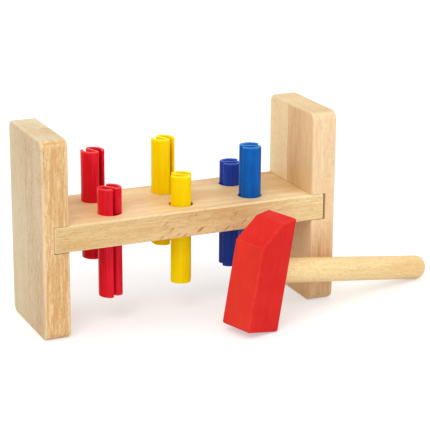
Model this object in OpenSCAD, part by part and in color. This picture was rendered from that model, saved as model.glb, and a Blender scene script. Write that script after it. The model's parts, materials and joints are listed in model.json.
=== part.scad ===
// Toddler's peg pounding bench: two end panels, a peg board let into them, six springy pegs
// and a block hammer. Millimetres, Z up. The origin is the middle of the bench's footprint
// on the floor, X runs along the bench and the front is towards -Y.

/* [Bench] */
// Overall length over the two end panels
bench_l = 188; // [170:1:230]
// Depth of the end panels, front to back
bench_d = 59; // [52:1:80]
// Height of the end panels
bench_h = 120; // [104:1:150]
// Thickness of an end panel
panel_t = 16; // [13:0.5:20]
// Radius of the four rounded corners of a panel
panel_corner_r = 5; // [3:0.5:12]
// Radius to which every edge of a panel is eased
panel_edge_r = 1.2; // [0.6:0.1:2.5]
// Width of the left panel's front stave, up to its glue line
left_front_stave_w = 30.5; // [24:0.5:36]
// Width of the right panel's front stave, up to its glue line
right_front_stave_w = 34; // [24:0.5:38]

/* [Peg board] */
// Thickness of the peg board
board_t = 16; // [13:0.5:20]
// How far the board lies above the middle of the panels
board_rise = 0.95; // [0:0.05:3]
// Depth of the housing cut across each panel for the board's end
housing_depth = 9.3; // [5:0.1:11]
// Gap left beyond the board's right end in its housing
board_end_gap = 0.9; // [0.4:0.1:2.5]
// Radius to which the board's edges are eased
board_edge_r = 1; // [0.5:0.1:2]
// Distance between neighbouring columns of pegs
column_pitch = 45.5; // [36:0.5:50]
// How far the columns of pegs stand towards the left end
column_shift = 2; // [0:0.1:4]
// Distance of each row of pegs from the board's nearer long edge
row_inset = 15.5; // [13:0.5:17]

/* [Pegs] */
// Diameter of a peg over the two arms of its S-shaped section
peg_d = 14.4; // [11:0.1:17]
// Thickness of the peg's wall
peg_wall_t = 2; // [1.4:0.1:2.4]
// Radius, along the middle of the wall, of the bends between the S's bar and its arms
peg_bend_r = 2; // [1.4:0.1:2.6]
// Angle that an arm leaves open before the other arm's bend
peg_open_angle = 52; // [40:1:75]
// Radius of the rims of the wall at the peg's two ends
peg_rim_r = 0.6; // [0.3:0.1:0.9]
// Radial clearance of a peg in its bore
bore_clearance = 0.05; // [0.02:0.01:0.09]
// Height left under a peg that is driven flush with the board of the bench turned over
floor_gap = 0.2; // [0.1:0.1:3]

/* [Hammer] */
// Width of the hammer's head, across the handle
head_w = 24; // [20:0.5:28]
// Depth of the head, along the handle
head_d = 24; // [20:0.5:28]
// Length of the head from its striking face to its crown
head_l = 69; // [60:0.5:80]
// Run of the bevel that cuts the head's nose back
bevel_run = 14; // [8:0.5:16]
// Drop of the bevel along the head
bevel_drop = 14; // [8:0.5:18]
// Drop of the crown from the handle's side to the bevel
crown_drop = 3; // [1:0.5:5]
// Radius to which the head's edges are eased
head_edge_r = 1.4; // [0.6:0.1:2.5]
// Diameter of the handle
handle_d = 15; // [12:0.5:17]
// Length of the handle outside the head
handle_l = 132; // [100:1:160]
// Depth of the blind bore that the handle is glued into
handle_bore_l = 16; // [10:0.5:18]
// Radius of the handle's end rims
handle_rim_r = 3.5; // [1:0.5:5]
// Height of the handle's axis above the striking face
handle_up = 34.5; // [28:0.5:40]
// Radial gap that the glue fills round the handle
glue_gap = 0.05; // [0.02:0.01:0.09]

/* [Where the hammer lies] */
// How far the head stands inside the bench's right end
hammer_inset = 61; // [45:1:75]
// Turn of the handle away from the bench's length
hammer_turn = 17; // [8:1:25]
// Clearance of the handle from the right panel's front edge
hammer_gap = 0.8; // [0.4:0.1:0.9]

/* [Hidden] */
$fn = 64;
// Segments of the small eased edges, which hull() rounds
EASE_FN = 32;
OVERRUN = 1;
BEECH = [0.90, 0.75, 0.53];
BEECH_END = [0.86, 0.68, 0.45];
RED = [0.82, 0.09, 0.14];
YELLOW = [0.98, 0.80, 0.05];
BLUE = [0.05, 0.30, 0.66];
PAINT = [0.84, 0.16, 0.15];

board_z = (bench_h - board_t) / 2 + board_rise;
board_l = bench_l - 2 * (panel_t - housing_depth) - board_end_gap;
board_x = -bench_l / 2 + panel_t - housing_depth;
row_y = bench_d / 2 - row_inset;
bore_d = peg_d + 2 * bore_clearance;
peg_l = bench_h - board_z - floor_gap;
peg_travel = peg_l - board_t;

// The middle of the peg's wall runs along the S's bar to X = bend_x, turns through the bend
// and goes on into the arm where both arcs share the direction -bend_angle
arm_r = (peg_d - peg_wall_t) / 2;
bend_x = sqrt(arm_r * (arm_r - 2 * peg_bend_r));
bend_angle = atan2(peg_bend_r, bend_x);

// Each peg's column and row, the share of its travel that stands above the board, and the
// direction of its bar in degrees from the bench's length
LEFT = -1;
MIDDLE = 0;
RIGHT = 1;
BACK = 1;
FRONT = -1;
red_back_place = [LEFT, BACK];
red_front_place = [LEFT, FRONT];
yellow_back_place = [MIDDLE, BACK];
yellow_front_place = [MIDDLE, FRONT];
blue_back_place = [RIGHT, BACK];
blue_front_place = [RIGHT, FRONT];
red_back_up_share = 0.615;
red_front_up_share = 0.312;
yellow_back_up_share = 0.672;
yellow_front_up_share = 0.363;
blue_back_up_share = 0.28;
blue_front_up_share = 0.619;
red_back_turn = -69;
red_front_turn = -100;
yellow_back_turn = -66;
yellow_front_turn = -48;
blue_back_turn = -20;
blue_front_turn = -24;

// The hammer stands on its head's lower edge and on the handle's end, so its droop is the
// angle at which both of these rounded edges touch the floor
rim_x = head_edge_r + handle_l - handle_rim_r;
rim_z = handle_up - head_edge_r - handle_d / 2 + handle_rim_r;
hammer_droop = acos((handle_rim_r - head_edge_r) / norm([rim_x, rim_z])) - atan2(rim_x, rim_z);
hammer_x = bench_l / 2 - hammer_inset;
handle_reach = (hammer_inset - panel_edge_r) * tan(hammer_turn);
hammer_y = -bench_d / 2 - (handle_d / 2 + hammer_gap) / cos(hammer_turn) - handle_reach;

// A ring with a round section, which hull() joins into the eased corner of a panel
module corner_ring(corner_r, edge_r) {
    rotate([0, 90, 0])
        rotate_extrude($fn = EASE_FN)
            translate([corner_r - edge_r, 0])
                circle(r = edge_r, $fn = EASE_FN / 2);
}

// One whole end panel, centred on X = 0: a slab with round corners and eased edges
module panel_slab() {
    side_x = panel_t / 2 - panel_edge_r;
    corner_y = bench_d / 2 - panel_corner_r;
    hull()
        for (x = [-side_x, side_x], y = [-corner_y, corner_y],
             z = [panel_corner_r, bench_h - panel_corner_r])
            translate([x, y, z])
                corner_ring(panel_corner_r, panel_edge_r);
}

// The part of a panel from one depth to another, with the housing cut across its inner face
module panel_stave(side, from_y, to_y) {
    translate([side * (bench_l - panel_t) / 2, 0, 0])
        difference() {
            intersection() {
                panel_slab();
                translate([-panel_t, from_y, -OVERRUN])
                    cube([2 * panel_t, to_y - from_y, bench_h + 2 * OVERRUN]);
            }
            translate([-side * panel_t / 2, 0, board_z + board_t / 2])
                cube([2 * housing_depth, bench_d + 2 * OVERRUN, board_t], center = true);
        }
}

module left_panel_front_stave() {
    color(BEECH)
        panel_stave(LEFT, -bench_d / 2 - OVERRUN, left_front_stave_w - bench_d / 2);
}

module left_panel_back_stave() {
    color(BEECH)
        panel_stave(LEFT, left_front_stave_w - bench_d / 2, bench_d / 2 + OVERRUN);
}

module right_panel_front_stave() {
    color(BEECH)
        panel_stave(RIGHT, -bench_d / 2 - OVERRUN, right_front_stave_w - bench_d / 2);
}

module right_panel_back_stave() {
    color(BEECH)
        panel_stave(RIGHT, right_front_stave_w - bench_d / 2, bench_d / 2 + OVERRUN);
}

// A rectangle with rounded corners, which stands on Y = 0 with its middle at X = 0
module rounded_rect(w, h, corner_r) {
    translate([-w / 2, corner_r])
        square([w, h - 2 * corner_r]);
    translate([corner_r - w / 2, 0])
        square([w - 2 * corner_r, h]);
    for (x = [corner_r - w / 2, w / 2 - corner_r], y = [corner_r, h - corner_r])
        translate([x, y])
            circle(r = corner_r);
}

// The board's blank, standing on Z = 0 from X = 0: eased along its length and at its ends
module board_blank() {
    intersection() {
        rotate([90, 0, 90])
            linear_extrude(board_l)
                rounded_rect(bench_d, board_t, board_edge_r);
        translate([board_l / 2, 0, 0])
            rotate([90, 0, 0])
                linear_extrude(bench_d + 2 * OVERRUN, center = true)
                    rounded_rect(board_l, board_t, board_edge_r);
    }
}

module peg_board() {
    color(BEECH)
        difference() {
            translate([board_x, 0, board_z])
                board_blank();
            for (column = [LEFT, MIDDLE, RIGHT], row = [BACK, FRONT])
                translate([
                    column * column_pitch - column_shift,
                    row * row_y,
                    board_z - OVERRUN
                ])
                    cylinder(d = bore_d, h = board_t + 2 * OVERRUN);
        }
}

// A turned rod with rounded end rims, standing on Z = 0
module rimmed_rod(d, l, rim_r) {
    rotate_extrude()
        union() {
            square([d / 2 - rim_r, l]);
            translate([0, rim_r])
                square([d / 2, l - 2 * rim_r]);
            for (z = [rim_r, l - rim_r])
                translate([d / 2 - rim_r, z])
                    circle(r = rim_r);
        }
}

// The point at a distance and in a direction from the peg's middle
function polar(r, angle) = r * [cos(angle), sin(angle)];

// One of the two rooms beside the S's bar, which lies along X: inside an arm, round at the
// arm's bend, and open between the arm's free end and the other bend
module hollow_section() {
    half_t = peg_wall_t / 2;
    far = peg_d;
    end_angle = peg_open_angle - 180;
    intersection() {
        circle(r = arm_r - half_t);
        polygon([
            [-far, -half_t], [bend_x, -half_t], [bend_x, -peg_bend_r],
            polar(far, -bend_angle), [far, -far], [-far, -far]
        ]);
    }
    translate([bend_x, -peg_bend_r])
        circle(r = peg_bend_r - half_t);
    difference() {
        polygon([
            [-bend_x, -half_t], [-half_t / tan(peg_open_angle), -half_t],
            polar(far, end_angle), polar(far, 180 - bend_angle), [-bend_x, peg_bend_r]
        ]);
        translate([-bend_x, peg_bend_r])
            circle(r = peg_bend_r + half_t);
        translate(polar(arm_r, end_angle))
            circle(r = half_t);
    }
}

// A peg with an S-shaped section, whose two arms spring inwards and so grip its bore
module s_peg() {
    difference() {
        rimmed_rod(peg_d, peg_l, peg_rim_r);
        for (turn = [0, 180])
            rotate(turn)
                translate([0, 0, -OVERRUN])
                    linear_extrude(peg_l + 2 * OVERRUN)
                        hollow_section();
    }
}

// A peg in its bore, with a share of its travel standing above the board
module placed_peg(place, up_share, turn) {
    translate([
        place[0] * column_pitch - column_shift,
        place[1] * row_y,
        board_z + up_share * peg_travel - peg_travel
    ])
        rotate(turn)
            s_peg();
}

module red_peg_back() {
    color(RED)
        placed_peg(red_back_place, red_back_up_share, red_back_turn);
}

module red_peg_front() {
    color(RED)
        placed_peg(red_front_place, red_front_up_share, red_front_turn);
}

module yellow_peg_back() {
    color(YELLOW)
        placed_peg(yellow_back_place, yellow_back_up_share, yellow_back_turn);
}

module yellow_peg_front() {
    color(YELLOW)
        placed_peg(yellow_front_place, yellow_front_up_share, yellow_front_turn);
}

module blue_peg_back() {
    color(BLUE)
        placed_peg(blue_back_place, blue_back_up_share, blue_back_turn);
}

module blue_peg_front() {
    color(BLUE)
        placed_peg(blue_front_place, blue_front_up_share, blue_front_turn);
}

// Lays the hammer on the floor. Its own origin is the middle of the eased edge that it
// stands on, with the handle along X and the head along Z
module lay_hammer() {
    translate([hammer_x, hammer_y, head_edge_r])
        rotate([0, hammer_droop, hammer_turn])
            children();
}

// The middle points of the head's eased edges, seen from the side
function head_corners() =
    let (
        nose_x = 2 * head_edge_r - head_d,
        crown_z = head_l - 2 * head_edge_r
    ) [
        [0, 0],
        [0, crown_z],
        [nose_x + bevel_run - head_edge_r, crown_z - crown_drop],
        [nose_x, crown_z - crown_drop - bevel_drop],
        [nose_x, 0]
    ];

module head_block() {
    hull()
        for (corner = head_corners(), y = [-1, 1])
            translate([corner[0], y * (head_w / 2 - head_edge_r), corner[1]])
                sphere(r = head_edge_r, $fn = EASE_FN);
}

module hammer_head() {
    color(PAINT)
        lay_hammer()
            difference() {
                head_block();
                translate([head_edge_r - handle_bore_l, 0, handle_up - head_edge_r])
                    rotate([0, 90, 0])
                        cylinder(d = handle_d + 2 * glue_gap, h = handle_bore_l + OVERRUN);
            }
}

module hammer_handle() {
    color(BEECH_END)
        lay_hammer()
            translate([head_edge_r - handle_bore_l, 0, handle_up - head_edge_r])
                rotate([0, 90, 0])
                    rimmed_rod(handle_d, handle_bore_l + handle_l, handle_rim_r);
}

left_panel_front_stave();
left_panel_back_stave();
right_panel_front_stave();
right_panel_back_stave();
peg_board();
red_peg_back();
red_peg_front();
yellow_peg_back();
yellow_peg_front();
blue_peg_back();
blue_peg_front();
hammer_head();
hammer_handle();
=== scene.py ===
"""Looks of a toddler's peg pounding bench: beech panels and board, springy plastic pegs, a hammer."""

import json
import logging
import math
from dataclasses import dataclass, field
from enum import Enum

import bmesh
import bpy
from mathutils import Matrix, Vector

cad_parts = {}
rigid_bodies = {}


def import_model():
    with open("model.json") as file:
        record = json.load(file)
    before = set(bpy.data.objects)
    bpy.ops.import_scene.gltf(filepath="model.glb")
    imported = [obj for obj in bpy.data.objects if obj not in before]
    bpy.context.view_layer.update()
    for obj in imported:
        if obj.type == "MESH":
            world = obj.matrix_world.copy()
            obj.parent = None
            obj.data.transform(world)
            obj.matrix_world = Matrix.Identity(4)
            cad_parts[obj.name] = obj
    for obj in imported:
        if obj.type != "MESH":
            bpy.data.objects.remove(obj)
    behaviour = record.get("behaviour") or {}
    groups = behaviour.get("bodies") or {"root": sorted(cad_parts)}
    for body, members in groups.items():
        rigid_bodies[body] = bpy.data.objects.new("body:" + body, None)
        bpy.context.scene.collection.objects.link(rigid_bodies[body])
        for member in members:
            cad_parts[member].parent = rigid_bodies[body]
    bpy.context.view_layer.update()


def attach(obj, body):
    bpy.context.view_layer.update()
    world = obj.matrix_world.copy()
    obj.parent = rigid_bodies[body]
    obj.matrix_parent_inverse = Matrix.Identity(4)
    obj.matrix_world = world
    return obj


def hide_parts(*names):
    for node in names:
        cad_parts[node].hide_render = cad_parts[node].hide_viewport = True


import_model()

log = logging.getLogger("pounding_bench")

Point = tuple[float, float]
Triple = tuple[float, float, float]
Colour = tuple[float, float, float, float]

# Sizes are in mm unless a docstring says otherwise.
MM = 0.001
MM_PER_M = (1000.0, 1000.0, 1000.0)
ORIGIN = (0.0, 0.0, 0.0)
CENTRED = ((0.0, 0.0),)
WHITE = (1.0, 1.0, 1.0, 1.0)
EDGE_MARK = "eased_edge"
EDGE_FACE_W = 0.45
SHARP_DEGREES = 28.0
NOISE_MEAN = 0.5
STREAK_GAIN = 2.6
STREAK_FLOOR = 0.45


class Side(Enum):
    """The bench's left or right end, as the sign of its X."""

    LEFT = -1
    RIGHT = 1


class Row(Enum):
    """A row of pegs, as the sign of its Y."""

    FRONT = -1
    BACK = 1


class Grain(Enum):
    """The direction the fibres run in, as the turn that brings local Z to it."""

    UPRIGHT = (0.0, 0.0, 0.0)
    LENGTHWISE = (0.0, math.pi / 2, 0.0)


def linear(red: float, green: float, blue: float) -> Colour:
    """Turns a colour read off a screen, 0 to 255, into the linear colour that a node takes."""
    shares = (c / 255 for c in (red, green, blue))
    return (*(s / 12.92 if s <= 0.04045 else ((s + 0.055) / 1.055) ** 2.4 for s in shares), 1.0)


# Patterns


@dataclass(frozen=True)
class Noise:
    """A noise pattern, by its scale to a mm and the share of that scale that it has along Z."""

    scale: float
    detail: float = 2.0
    roughness: float = 0.5
    draw: float = 1.0


@dataclass(frozen=True)
class Dashes:
    """Spindles scattered one at most to a cell.

    A spindle's half width is given as a share of its cell, and kept is the share of the cells
    that have one. It is solid over a share of its half width, and a share of the spindles is
    dark, the others fainter. A flat pattern is the same all along Z.
    """

    cell: Triple
    size: float
    kept: float
    solid_share: float = 0.45
    dark_share: float = 1 / 3
    flat: bool = False


DRIFT = Noise(0.045, draw=0.16)
SWAY = Noise(0.018, 1.0, draw=0.2)
BAND_FADE = Noise(0.11, 1.0, draw=0.1)
FIBRE = Noise(1.3, 3.0, 0.62, 0.035)
SHORT_FIBRE = Noise(1.0, 2.0, 0.6, 0.15)
FLECK_PATCH = Noise(0.06, 1.0, draw=0.35)
LONG_FLECKS = Dashes((0.75, 0.75, 3.8), 0.36, 0.7)
SHORT_FLECKS = Dashes((0.45, 0.45, 2.0), 0.4, 0.8)
SCAR_MARKS = Dashes((11.0, 2.2, 1.0), 0.3, 0.75, flat=True)
SCAR_PATCH = Noise(0.16, 1.0)
MOULD_CLOUDS = Noise(0.09)
MOULD_LINES = Noise(1.1, draw=0.02)
MOULD_GRIT = Noise(5.0)
PAINT_STREAKS = Noise(0.9, 3.0, 0.6, 0.05)
PAINT_CLOUDS = Noise(0.07)
PAINT_PEEL = Noise(2.2)
PAINT_WEAR = Noise(0.35)


# Node trees


class Value:
    """A number socket of a node tree, on which arithmetic adds Math nodes."""

    def __init__(self, graph: "Graph", socket: bpy.types.NodeSocket) -> None:
        """Wraps one output socket of the graph."""
        self.graph = graph
        self.socket = socket

    def _math(self, operation: str, *operands: "Value | float", clamp: bool = False) -> "Value":
        """Adds one Math node.

        Args:
            operation: Blender's name of the operation.
            operands: the inputs in order.
            clamp: whether the result is kept between 0 and 1.

        Returns:
            The node's result.
        """
        made = self.graph.node(
            "ShaderNodeMath",
            {"operation": operation, "use_clamp": clamp},
            dict(enumerate(operands)),
        )
        return Value(self.graph, made.outputs[0])

    def __add__(self, other: "Value | float") -> "Value":
        """self + other."""
        return self._math("ADD", self, other)

    def __radd__(self, other: float) -> "Value":
        """other + self."""
        return self._math("ADD", other, self)

    def __sub__(self, other: "Value | float") -> "Value":
        """self - other."""
        return self._math("SUBTRACT", self, other)

    def __rsub__(self, other: float) -> "Value":
        """other - self."""
        return self._math("SUBTRACT", other, self)

    def __mul__(self, other: "Value | float") -> "Value":
        """self * other."""
        return self._math("MULTIPLY", self, other)

    def __rmul__(self, other: float) -> "Value":
        """other * self."""
        return self._math("MULTIPLY", other, self)

    def __truediv__(self, other: "Value | float") -> "Value":
        """self / other."""
        return self._math("DIVIDE", self, other)

    def __rtruediv__(self, other: float) -> "Value":
        """other / self."""
        return self._math("DIVIDE", other, self)

    def __neg__(self) -> "Value":
        """-self."""
        return self._math("MULTIPLY", self, -1.0)

    def __gt__(self, other: "Value | float") -> "Value":
        """1 where self is above other, and 0 elsewhere."""
        return self._math("GREATER_THAN", self, other)

    def __lt__(self, other: "Value | float") -> "Value":
        """1 where self is below other, and 0 elsewhere."""
        return self._math("LESS_THAN", self, other)

    def least(self, other: "Value | float") -> "Value":
        """The smaller of self and other."""
        return self._math("MINIMUM", self, other)

    def most(self, other: "Value | float") -> "Value":
        """The larger of self and other."""
        return self._math("MAXIMUM", self, other)

    def root(self) -> "Value":
        """The square root of self."""
        return self._math("SQRT", self)

    def sine(self) -> "Value":
        """The sine of self, in radians."""
        return self._math("SINE", self)

    def cosine(self) -> "Value":
        """The cosine of self, in radians."""
        return self._math("COSINE", self)

    def bearing(self, along: "Value") -> "Value":
        """The angle whose tangent is self over along."""
        return self._math("ARCTAN2", self, along)

    def whole(self) -> "Value":
        """self rounded down."""
        return self._math("FLOOR", self)

    def share(self) -> "Value":
        """self kept between 0 and 1."""
        return self._math("ADD", self, 0.0, clamp=True)

    def rise(self, start: float, end: float) -> "Value":
        """Rises in a smooth step.

        Args:
            start: the value of self up to which it is 0.
            end: the value of self from which it is 1.

        Returns:
            The step, from 0 to 1.
        """
        made = self.graph.node(
            "ShaderNodeMapRange",
            {"interpolation_type": "SMOOTHSTEP", "clamp": True},
            {"Value": self, "From Min": start, "From Max": end, "To Min": 0.0, "To Max": 1.0},
        )
        return Value(self.graph, made.outputs["Result"])


class Graph:
    """A node tree that is built by calls, for a material, the world or Geometry Nodes."""

    def __init__(self, tree: bpy.types.NodeTree) -> None:
        """Keeps the tree that the calls add to."""
        self.tree = tree

    def node(self, kind: str, settings: dict | None = None, inputs: dict | None = None) -> bpy.types.Node:
        """Adds a node.

        Args:
            kind: Blender's type name.
            settings: properties by name, which are set first.
            inputs: values, sockets or Values by the input's name or number.

        Returns:
            The new node.
        """
        made = self.tree.nodes.new(kind)
        for name, value in (settings or {}).items():
            setattr(made, name, value)
        for name, value in (inputs or {}).items():
            self.feed(made, name, value)
        return made

    def feed(self, node: bpy.types.Node, name: str | int, value: object) -> None:
        """Sets one input of a node, or links it.

        Args:
            node: the node.
            name: the input's name or number.
            value: a plain value, or a socket or Value to link.
        """
        given = value.socket if isinstance(value, Value) else value
        if isinstance(given, bpy.types.NodeSocket):
            self.tree.links.new(given, node.inputs[name])
        else:
            node.inputs[name].default_value = given

    def stretched(self, vector: bpy.types.NodeSocket, by: Triple) -> bpy.types.NodeSocket:
        """A vector multiplied by one number for each axis."""
        made = self.node("ShaderNodeVectorMath", {"operation": "MULTIPLY"}, {0: vector, 1: by})
        return made.outputs["Vector"]

    def parts(self, vector: bpy.types.NodeSocket) -> tuple[Value, Value, Value]:
        """The X, Y and Z of a vector."""
        made = self.node("ShaderNodeSeparateXYZ", None, {0: vector})
        return tuple(Value(self, made.outputs[i]) for i in range(3))

    def noise(self, vector: bpy.types.NodeSocket, pattern: Noise) -> Value:
        """Adds a noise pattern.

        Args:
            vector: the place in mm.
            pattern: the noise's scale and roughness.

        Returns:
            Its value, which is NOISE_MEAN on average.
        """
        made = self.node(
            "ShaderNodeTexNoise",
            {"noise_dimensions": "3D"},
            {"Vector": self.stretched(vector, (1.0, 1.0, pattern.draw)), "Scale": pattern.scale,
             "Detail": pattern.detail, "Roughness": pattern.roughness},
        )
        return Value(self, made.outputs[0])

    def dashes(self, vector: bpy.types.NodeSocket, pattern: Dashes) -> Value:
        """Scatters short spindles.

        Args:
            vector: the place in mm.
            pattern: the spindles' cells, size and number.

        Returns:
            1 inside a spindle, less where it is faint, and 0 outside.
        """
        made = self.node(
            "ShaderNodeTexVoronoi",
            {"voronoi_dimensions": "2D" if pattern.flat else "3D", "feature": "F1"},
            {"Vector": self.stretched(vector, tuple(1 / c for c in pattern.cell)), "Scale": 1.0},
        )
        away = Value(self, made.outputs["Distance"])
        chance = self.parts(made.outputs["Color"])[0]
        shape = 1 - away.rise(pattern.size * pattern.solid_share, pattern.size)
        return shape * chance.rise(1 - pattern.kept, 1 - pattern.kept * pattern.dark_share)

    def mix(self, share: Value | float, first: object, second: object,
            how: str = "MIX") -> bpy.types.NodeSocket:
        """Mixes two colours, whose sockets this node has as inputs 6 and 7 and output 2.

        Args:
            share: how much of the second there is.
            first: a colour or a colour socket.
            second: a colour or a colour socket.
            how: Blender's blend type.

        Returns:
            The mixed colour's socket.
        """
        made = self.node(
            "ShaderNodeMix",
            {"data_type": "RGBA", "blend_type": how, "clamp_factor": True},
            {0: share, 6: first, 7: second},
        )
        return made.outputs[2]


def empty_tree(owner: bpy.types.Material | bpy.types.World) -> bpy.types.NodeTree:
    """Gives a material or the world an empty node tree.

    Args:
        owner: the material or the world.

    Returns:
        The tree.
    """
    owner.use_nodes = True
    owner.node_tree.nodes.clear()
    return owner.node_tree


class Surface(Graph):
    """A material's node tree, with its Principled shader linked to the output."""

    def __init__(self, name: str) -> None:
        """Starts the material.

        Args:
            name: the material's name.
        """
        self.material = bpy.data.materials.new(name)
        super().__init__(empty_tree(self.material))
        self.shader = self.node("ShaderNodeBsdfPrincipled")
        self.node("ShaderNodeOutputMaterial", None, {"Surface": self.shader.outputs["BSDF"]})

    def place(self, centre: Triple = ORIGIN, turn: Triple = ORIGIN) -> bpy.types.NodeSocket:
        """Measures where a spot of the object is.

        Args:
            centre: the point from which it is measured, in mm.
            turn: the turn of the axes along which it is measured, in radians.

        Returns:
            The spot's place in mm.
        """
        made = self.node(
            "ShaderNodeMapping",
            {"vector_type": "TEXTURE"},
            {"Vector": self.node("ShaderNodeTexCoord").outputs["Object"],
             "Location": tuple(c * MM for c in centre), "Rotation": turn},
        )
        return self.stretched(made.outputs["Vector"], MM_PER_M)

    def edge(self) -> Value:
        """The mark on a piece's eased edges, 1 there and 0 elsewhere."""
        return Value(self, self.node("ShaderNodeAttribute", {"attribute_name": EDGE_MARK}).outputs["Fac"])

    def finished(self, colour: bpy.types.NodeSocket, roughness: Value, height: Value, relief: Point,
                 fixed: dict[str, object]) -> bpy.types.Material:
        """Links what changes over the surface, and sets the rest.

        Args:
            colour: the colour.
            roughness: how rough the surface is.
            height: the pattern of its relief.
            relief: how strongly the relief shows, and its depth in mm.
            fixed: the shader's other inputs by name.

        Returns:
            The material.
        """
        strength, depth = relief
        bump = self.node("ShaderNodeBump", None,
                         {"Strength": strength, "Distance": depth * MM, "Height": height})
        linked = {"Base Color": colour, "Roughness": roughness.share(), "Normal": bump.outputs["Normal"]}
        for name, value in {**linked, **fixed}.items():
            self.feed(self.shader, name, value)
        return self.material


# Finishes


@dataclass(frozen=True)
class Shade:
    """A zone in which a piece is darker, paler or greyer, past a soft border.

    The border lies across a direction, from start to end in mm along it, times its length, and
    beyond it the colour is multiplied by the tint. A streaky zone comes and goes with the
    fibres, and one that is within another shows only where both are.
    """

    along: Triple
    start: float
    end: float
    tint: Triple = (1.0, 1.0, 1.0)
    streaky: bool = False
    within: "Shade | None" = None

    def strength(self, g: Graph, spot: bpy.types.NodeSocket, fibre: Value) -> Value:
        """How strongly the zone shows at a place.

        Args:
            g: the material's graph.
            spot: the place in mm.
            fibre: the fibres' pattern.

        Returns:
            0 outside the zone and up to 1 inside it.
        """
        far = g.node("ShaderNodeVectorMath", {"operation": "DOT_PRODUCT"}, {0: spot, 1: self.along})
        strength = Value(g, far.outputs["Value"]).rise(self.start, self.end)
        if self.streaky:
            strength = (strength * (fibre * STREAK_GAIN - STREAK_FLOOR)).share()
        if self.within:
            strength = strength * self.within.strength(g, spot, fibre)
        return strength


@dataclass(frozen=True)
class Scars:
    """Slanting dark marks in patches over a zone of the front face. The slant is in degrees."""

    zone: Shade
    slant: float = 42.0
    amount: float = 0.9
    patch_rise: Point = (0.32, 0.52)

    def strength(self, g: Graph, spot: bpy.types.NodeSocket, fibre: Value) -> Value:
        """How strongly the marks show at a place.

        Args:
            g: the material's graph.
            spot: the place in mm in the object's own axes.
            fibre: the fibres' pattern.

        Returns:
            0 outside a mark and up to the marks' amount inside it.
        """
        lean = g.node("ShaderNodeMapping", {"vector_type": "POINT"},
                      {"Vector": spot, "Rotation": (math.pi / 2, 0.0, math.radians(self.slant))})
        marks = g.dashes(lean.outputs["Vector"], SCAR_MARKS)
        marks = marks * g.noise(spot, SCAR_PATCH).rise(*self.patch_rise)
        return marks * self.zone.strength(g, spot, fibre) * self.amount


@dataclass(frozen=True)
class BeechFinish:
    """Lacquered beech: broad tone, growth bands, fibres and the short dark flecks of its rays.

    The bands are band_width apart, and sway by sway_mm along the piece. An amount says how
    strongly its pattern shows.
    """

    name: str
    light: Triple = (240, 208, 156)
    deep: Triple = (222, 180, 122)
    fleck: Triple = (186, 128, 74)
    pale_edge_and_highlight: Triple = (250, 228, 190)
    centre: Triple = ORIGIN
    turn: Triple = Grain.UPRIGHT.value
    tone: float = 0.42
    drift_amount: float = 2.6
    band_width: float = 7.0
    band_amount: float = 0.3
    band_mean: float = 0.35
    band_slant: float = 0.55
    band_rest: float = 0.25
    sway_mm: float = 46.0
    fibre_amount: float = 1.1
    short_share: float = 1.2
    fleck_amount: float = 0.55
    fleck_rise: Point = (0.34, 0.6)
    fleck_least: float = 0.5
    short_fleck_share: float = 0.7
    edge_amount: float = 0.3
    roughness: float = 0.48
    roughness_play: float = 0.2
    specular: float = 0.35
    relief: Point = (0.3, 0.12)
    fibre_height: float = 0.5
    fleck_depth: float = 0.7
    shades: tuple[Shade, ...] = ()
    scars: Scars | None = None

    def material(self) -> bpy.types.Material:
        """Builds the node material of this piece of wood.

        Returns:
            The material.
        """
        g = Surface(self.name)
        local, spot = g.place(self.centre, self.turn), g.place()
        depth, fibre = self.figure(g, local)
        flecks = self.flecks(g, local)
        if self.scars:
            flecks = flecks.most(self.scars.strength(g, spot, fibre)).share()
        colour = g.mix(depth, linear(*self.light), linear(*self.deep))
        colour = g.mix(flecks, colour, linear(*self.fleck))
        for shade in self.shades:
            colour = g.mix(shade.strength(g, spot, fibre), colour, (*shade.tint, 1.0), "MULTIPLY")
        # The eased edges are made paler: partly sanded wood, partly a painted highlight.
        colour = g.mix(g.edge() * self.edge_amount, colour, linear(*self.pale_edge_and_highlight))
        roughness = self.roughness + (fibre - NOISE_MEAN + flecks) * self.roughness_play
        height = fibre * self.fibre_height - flecks * self.fleck_depth
        return g.finished(colour, roughness, height, self.relief, {"Specular IOR Level": self.specular})

    def figure(self, g: Graph, local: bpy.types.NodeSocket) -> tuple[Value, Value]:
        """The wood's tone and fibres.

        Args:
            g: the material's graph.
            local: the place in mm, with the fibres along Z.

        Returns:
            How deep the tone is, from 0 to 1, and the fibres' own pattern.
        """
        across, over, _ = g.parts(local)
        way = across + over * self.band_slant + g.noise(local, SWAY) * self.sway_mm
        bands = (way * (2 * math.pi / self.band_width)).sine() * 0.5 + 0.5
        bands = bands * (g.noise(local, BAND_FADE) + self.band_rest)
        fibre = g.noise(local, FIBRE)
        fibres = fibre - NOISE_MEAN + (g.noise(local, SHORT_FIBRE) - NOISE_MEAN) * self.short_share
        depth = (g.noise(local, DRIFT) - NOISE_MEAN) * self.drift_amount + self.tone
        depth = depth + (bands - self.band_mean) * self.band_amount + fibres * self.fibre_amount
        return depth.share(), fibre

    def flecks(self, g: Graph, local: bpy.types.NodeSocket) -> Value:
        """How strongly the dark flecks show.

        Args:
            g: the material's graph.
            local: the place in mm, with the fibres along Z.

        Returns:
            The flecks' strength, from 0 to 1.
        """
        patch = g.noise(local, FLECK_PATCH).rise(*self.fleck_rise)
        marks = g.dashes(local, LONG_FLECKS).most(g.dashes(local, SHORT_FLECKS) * self.short_fleck_share)
        crowd = patch * (1 - self.fleck_least) + self.fleck_least
        return (marks * crowd * self.fleck_amount).share()


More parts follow.
